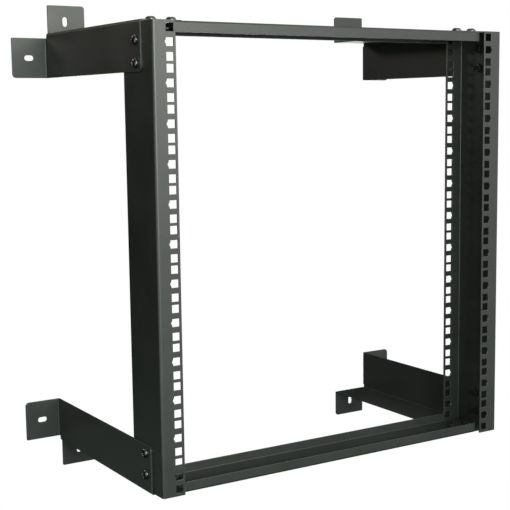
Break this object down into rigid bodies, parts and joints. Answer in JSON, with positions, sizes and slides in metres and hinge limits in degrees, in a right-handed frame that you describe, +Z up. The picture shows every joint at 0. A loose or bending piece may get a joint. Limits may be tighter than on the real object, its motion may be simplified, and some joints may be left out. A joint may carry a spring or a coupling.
{
  "type": "wall mount open frame rack",
  "caption": "Open rack frame with two perforated channel rails and two cross-members, held off a wall by four folded brackets; takes panel equipment from the front.",
  "frame": {"origin": "middle of the four outer wall slots, on the wall plane", "axes": "+Y into the wall, so the rack stands out towards -Y; +X towards the right rail; +Z up"},
  "size_m": [0.604, 0.3048, 0.6126],
  "materials": {
    "powder_coat": "semi-matte black powder coat on folded steel sheet",
    "screw_plating": "glossy black zinc plating on steel",
    "nut_plating": "satin black zinc plating on steel"
  },
  "bodies": {
    "root": {"left_rail": "powder_coat", "right_rail": "powder_coat", "top_crossmember": "powder_coat", "bottom_crossmember": "powder_coat", "upper_left_bracket": "powder_coat", "upper_right_bracket": "powder_coat", "lower_left_bracket": "powder_coat", "lower_right_bracket": "powder_coat", "left_rail_outer_screws": "screw_plating", "left_rail_outer_nuts": "nut_plating", "left_rail_inner_screws": "screw_plating", "left_rail_inner_nuts": "nut_plating", "right_rail_outer_screws": "screw_plating", "right_rail_outer_nuts": "nut_plating", "right_rail_inner_screws": "screw_plating", "right_rail_inner_nuts": "nut_plating", "top_crossmember_outer_screws": "screw_plating", "top_crossmember_outer_nuts": "nut_plating", "top_crossmember_inner_screws": "screw_plating", "top_crossmember_inner_nuts": "nut_plating", "bottom_crossmember_outer_screws": "screw_plating", "bottom_crossmember_outer_nuts": "nut_plating", "bottom_crossmember_inner_screws": "screw_plating", "bottom_crossmember_inner_nuts": "nut_plating"}
  },
  "joints": []
}
